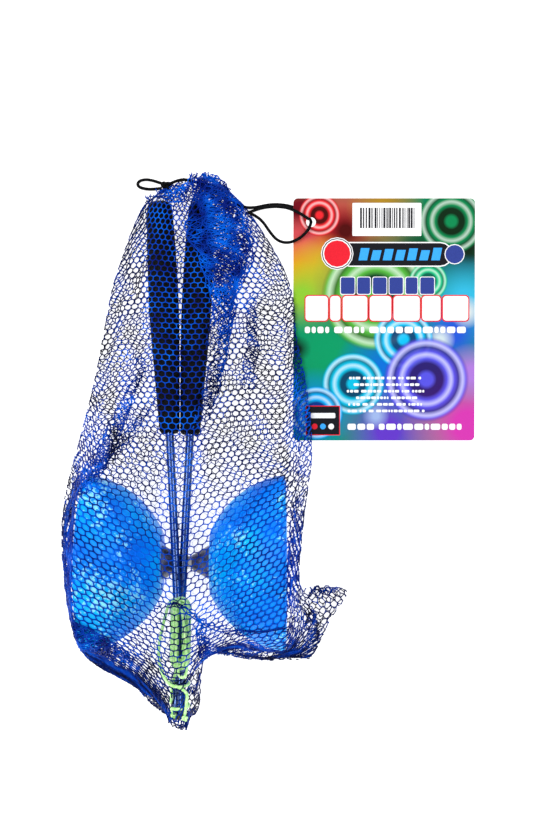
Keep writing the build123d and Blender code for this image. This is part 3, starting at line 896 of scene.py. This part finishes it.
# Soft colour fields: place on the card (from its lower left corner), reach, and colour
CARD_FIELDS = [
    ((28, 130), 60, (0.80, 0.02, 0.04)), ((4, 150), 26, (0.22, 0.0, 0.01)), ((4, 130), 18, (0.95, 0.10, 0.12)),
    ((60, 152), 26, (0.55, 0.30, 0.02)), ((92, 126), 46, (0.0, 0.16, 0.05)), ((112, 118), 22, (0.0, 0.05, 0.02)),
    ((2, 110), 24, (1.0, 0.42, 0.01)), ((22, 112), 24, (0.80, 0.62, 0.02)), ((6, 94), 24, (0.35, 0.75, 0.04)),
    ((46, 106), 34, (0.02, 0.30, 0.08)), ((70, 96), 26, (0.0, 0.55, 0.26)), ((20, 58), 38, (0.0, 0.42, 0.16)),
    ((112, 92), 30, (0.04, 0.62, 0.95)), ((104, 70), 26, (0.02, 0.12, 0.85)), ((60, 44), 34, (0.0, 0.20, 0.85)),
    ((14, 20), 28, (0.0, 0.35, 0.90)), ((62, 6), 34, (0.16, 0.05, 0.72)), ((114, 10), 44, (0.85, 0.05, 0.55)),
    ((116, 44), 20, (0.55, 0.25, 0.90)), ((42, 76), 14, (0.0, 0.03, 0.02)), ((113, 84), 11, (0.9, 1.0, 1.0)),
    ((34, 137), 17, (0.10, 0.0, 0.0)), ((80, 118), 18, (0.0, 0.01, 0.0)), ((50, 118), 16, (0.0, 0.01, 0.0)),
    ((64, 84), 9, (0.0, 0.02, 0.02)), ((96, 66), 10, (0.80, 0.95, 1.0)), ((54, 16), 9, (0.45, 0.60, 1.0)),
    ((114, 128), 13, (0.0, 0.01, 0.0)), ((3, 60), 9, (0.0, 0.04, 0.02)),
]
# Domed rings: centre, radius, their colour and the colour of their shaded rim
CARD_RINGS = [
    ((54, 94), 36, (0.10, 0.50, 0.05), (0.0, 0.03, 0.01)), ((17, 147), 14, (0.90, 0.02, 0.03), (0.05, 0.0, 0.0)),
    ((103, 143), 22, (0.0, 0.26, 0.08), (0.0, 0.01, 0.0)), ((88, 104), 13, (0.02, 0.60, 0.26), (0.0, 0.10, 0.06)),
    ((72, 66), 20, (0.0, 0.55, 0.95), (0.0, 0.04, 0.14)), ((87, 40), 28, (0.10, 0.08, 0.80), (0.02, 0.0, 0.12)),
    ((39, 37), 21, (0.0, 0.55, 0.80), (0.0, 0.04, 0.10)), ((15, 18), 18, (0.0, 0.45, 0.95), (0.0, 0.02, 0.18)),
]


def card_material():
    """Glossy card printed with plain domed rings over soft colour fields; the back is bare card."""
    material, shader = new_material("printed_card")
    nodes = Nodes(material)
    flat = nodes.add("ShaderNodeMapping", {"Vector": nodes.coords, "Scale": (1, 1, 0)}).outputs[0]

    def distance(place, reach):
        x, y = (card_low[0] + place[0]) * MM, (card_low[1] + place[1]) * MM
        length = nodes.add("ShaderNodeVectorMath", {0: flat, 1: (x, y, 0)}, operation="DISTANCE").outputs["Value"]
        return nodes.math("DIVIDE", length, reach * MM)

    def over(mask, below, above):
        mix = nodes.add("ShaderNodeMix", {"Factor": mask, "A": below, "B": above}, data_type="RGBA")
        return mix.outputs["Result"]

    color = (0.0, 0.22, 0.10, 1)
    for place, reach, ink in CARD_FIELDS:
        mask = nodes.grey(distance(place, reach), (0.2, 1), (1.0, 0))
        color = over(mask, color, (*(0.64 * c for c in ink), 1))
    for place, reach, ink, shade in CARD_RINGS:
        gap = distance(place, reach)
        pale = tuple(0.40 + 0.5 * c for c in ink)
        ink = tuple(0.8 * c for c in ink)
        deep = tuple(0.35 * c for c in ink)
        profile = nodes.ramp(gap, (0.0, ink), (0.14, ink), (0.24, shade), (0.38, shade), (0.48, ink), (0.58, pale),
                             (0.66, ink), (0.75, deep), (0.85, pale), (0.93, ink), (1.0, shade))
        mask = nodes.grey(gap, (0.0, 0.95), (0.9, 0.95), (1.02, 0))
        color = over(mask, color, profile)
    normal = nodes.tree.nodes.new("ShaderNodeTexCoord").outputs["Normal"]
    split = nodes.add("ShaderNodeSeparateXYZ", {0: normal}).outputs["Z"]
    printed = nodes.math("GREATER_THAN", split, 0.5)
    bare = nodes.ramp(nodes.noise(900, 3), (0.3, (0.72, 0.71, 0.68)), (0.7, (0.82, 0.81, 0.79)))
    nodes.link(over(printed, bare, color), shader, "Base Color")
    nodes.bump(shader, nodes.noise(1500, 2), 0.05, 0.0002)
    nodes.link(nodes.grey(nodes.noise(120, 2), (0.3, 0.3), (0.7, 0.42)), shader, "Roughness")
    shader.inputs["Specular IOR Level"].default_value = 0.10
    return material


def rounded_box(u0, v0, u1, v1, corner):
    """A rounded rectangle on the card, as a closed outline."""
    corner = min(corner, (u1 - u0) / 2, (v1 - v0) / 2)
    points = []
    for cu, cv, start in ((u1 - corner, v1 - corner, 0), (u0 + corner, v1 - corner, 90),
                          (u0 + corner, v0 + corner, 180), (u1 - corner, v0 + corner, 270)):
        for step in range(5):
            angle = math.radians(start + 22.5 * step)
            points.append((cu + corner * math.cos(angle), cv + corner * math.sin(angle)))
    return points


def disc(u, v, radius):
    return rounded_box(u - radius, v - radius, u + radius, v + radius, radius)


def slanted(u0, v0, u1, v1, lean):
    return [(u0, v0), (u1, v0), (u1 + lean, v1), (u0 + lean, v1)]


def plain_words(u0, u1, v0, height, seed, unit):
    """A line of plain blocks in place of words: short bars of uneven width with small gaps."""
    rng = np.random.default_rng(seed)
    blocks, u = [], u0
    while u < u1 - unit:
        width = min(unit * rng.uniform(0.7, 2.3), u1 - u)
        blocks.append(rounded_box(u, v0, u + width, v0 + height, height * 0.3))
        u += width + unit * (0.35 if rng.random() < 0.75 else 1.1)
    return blocks


def print_piece(name, shapes, material):
    """One ink of the print: thin raised patches. Each shape is (outline, layer)."""
    tilt_cos, tilt_sin = math.cos(CARD_TILT), math.sin(CARD_TILT)
    mesh = bmesh.new()

    def on_card(u, v, above):
        return mesh.verts.new((MM * (card_low[0] + u), MM * (card_low[1] + v * tilt_cos - above * tilt_sin),
                               MM * (card_low[2] + v * tilt_sin + above * tilt_cos)))

    for outline, layer in shapes:
        base, top = CARD_THICKNESS - 0.02, CARD_THICKNESS + 0.05 * layer
        low = [on_card(u, v, base) for u, v in outline]
        high = [on_card(u, v, top) for u, v in outline]
        mesh.faces.new(high)
        mesh.faces.new(low[::-1])
        for k in range(len(outline)):
            after = (k + 1) % len(outline)
            mesh.faces.new((low[k], low[after], high[after], high[k]))
    bmesh.ops.recalc_face_normals(mesh, faces=mesh.faces)
    data = bpy.data.meshes.new(name)
    mesh.to_mesh(data)
    mesh.free()
    data.materials.append(material)
    piece = add_object(name, data)
    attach(piece, "label")


def make_card():
    dress(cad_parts["label_card"], card_material())
    white, black, navy, red, cyan = [], [], [], [], []
    # A bar panel at the top: bars only
    white.append((rounded_box(38.5, 133.5, 83.5, 155.0, 0.6), 1))
    rng = np.random.default_rng(SEED)
    u = 43.5
    while u < 78.5:
        width = rng.choice([0.45, 0.45, 0.8, 1.2])
        black.append((rounded_box(u, 138.6, u + width, 151.8, 0.05), 2))
        u += width + rng.choice([0.45, 0.7, 1.0])
    # A dark strip with slanted blocks between a round badge and a small disc
    white.append((rounded_box(29, 113.4, 104, 129.6, 8.1), 1))
    black.append((rounded_box(29, 114.2, 103.2, 128.8, 7.3), 2))
    for k in range(7):
        start = 42.5 + 7.9 * k
        height = (8.0, 6.6, 7.4, 6.8, 7.8, 6.6, 8.2)[k]
        cyan.append((slanted(start, 117.6, start + 5.6, 117.6 + height, 1.6), 3))
    for radius, layer, ink in ((10.6, 3, white), (10.0, 4, black), (9.4, 5, white), (8.6, 6, red)):
        ink.append((disc(28.6, 122.0, radius), layer))
    white.append((disc(105.2, 121.6, 6.6), 3))
    navy.append((disc(105.2, 121.6, 6.0), 4))
    # Two rows of plain title blocks
    start = 31.0
    for width in (9.0, 8.2, 8.8, 8.8, 7.6, 9.0):
        white.append((rounded_box(start - 0.5, 95.2, start + width + 0.5, 107.0, 1.4), 3))
        navy.append((rounded_box(start, 95.7, start + width, 106.5, 1.2), 4))
        start += width + 1.9
    start = 8.0
    for width in (14.5, 6.6, 16.0, 14.0, 17.0, 12.0, 16.5):
        red.append((rounded_box(start - 0.7, 77.6, start + width + 0.7, 95.1, 2.6), 4))
        white.append((rounded_box(start, 78.3, start + width, 94.4, 2.2), 5))
        start += width + 1.6
    # Small lines of plain blocks
    for row, (u0, u1, v0, height, unit) in enumerate([
            (7.5, 115.0, 70.2, 4.2, 3.0), (35.5, 111.0, 7.0, 4.0, 2.8)]):
        white += [(shape, 3) for shape in plain_words(u0, u1, v0, height, 20 + row, unit)]
    for row in range(6):
        inset = (1.5, 4.5, 0.0, 6.0, 1.0, 0.5)[row]
        white += [(shape, 3) for shape in plain_words(35 + inset, 87 - inset, 40.0 - 4.3 * row, 1.7, 30 + row, 1.6)]
    # A dark square with a pale bar and three dots
    red.append((rounded_box(8.2, 3.4, 30.6, 22.8, 0.4), 1))
    black.append((rounded_box(8.8, 4.0, 30.0, 22.2, 0.3), 2))
    white.append((rounded_box(11.5, 14.6, 27.5, 18.0, 0.8), 3))
    for k, ink in enumerate((red, cyan, white)):
        ink.append((disc(14 + 5.4 * k, 9.2, 1.9), 3))
    inks = {
        "print_white": (white, (0.86, 0.86, 0.87)), "print_black": (black, (0.008, 0.008, 0.012)),
        "print_navy": (navy, (0.03, 0.05, 0.26)), "print_red": (red, (0.72, 0.015, 0.03)),
        "print_cyan": (cyan, (0.04, 0.36, 0.85)),
    }
    for name, (shapes, color) in inks.items():
        print_piece(name, shapes, flat_ink(name, color))


# ------------------------------------------------------------------ making it all

bpy.context.scene.view_settings.view_transform = "Standard"
make_camera()
string_green = fibre_material("neon_string", (0.30, 0.80, 0.16), (0.72, 1.0, 0.55), 700)
cord_black = fibre_material("black_cord", (0.0005, 0.0005, 0.001), (0.005, 0.005, 0.006), 1100, 0.8, 0)
make_string(string_green)
make_drawstring(cord_black)
make_stage()

rubber = cup_material()
smoky = smoky_plastic()
zinc = metal("zinc_steel", (0.62, 0.63, 0.66), 0.3, (1, 1, 1))
turned = metal("turned_steel", (0.7, 0.7, 0.72), 0.2, (6, 1, 1))
aluminium = metal("polished_aluminium", (0.07, 0.12, 0.30), 0.2, (1, 0.05, 0.2), 900)
foam = foam_material()
black_plastic = cap_plastic()
LOOKS = {
    "cup": rubber, "hub": smoky, "washer": zinc, "nut": zinc, "axle_rod": zinc, "axle_sleeve": turned,
    "stick_shaft": aluminium, "stick_grip": foam, "grip_cap": black_plastic, "tip_plug": black_plastic,
}
for name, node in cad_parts.items():
    for start, material in LOOKS.items():
        if name.startswith(start):
            dress(node, material)
make_net(net_material())
make_card()
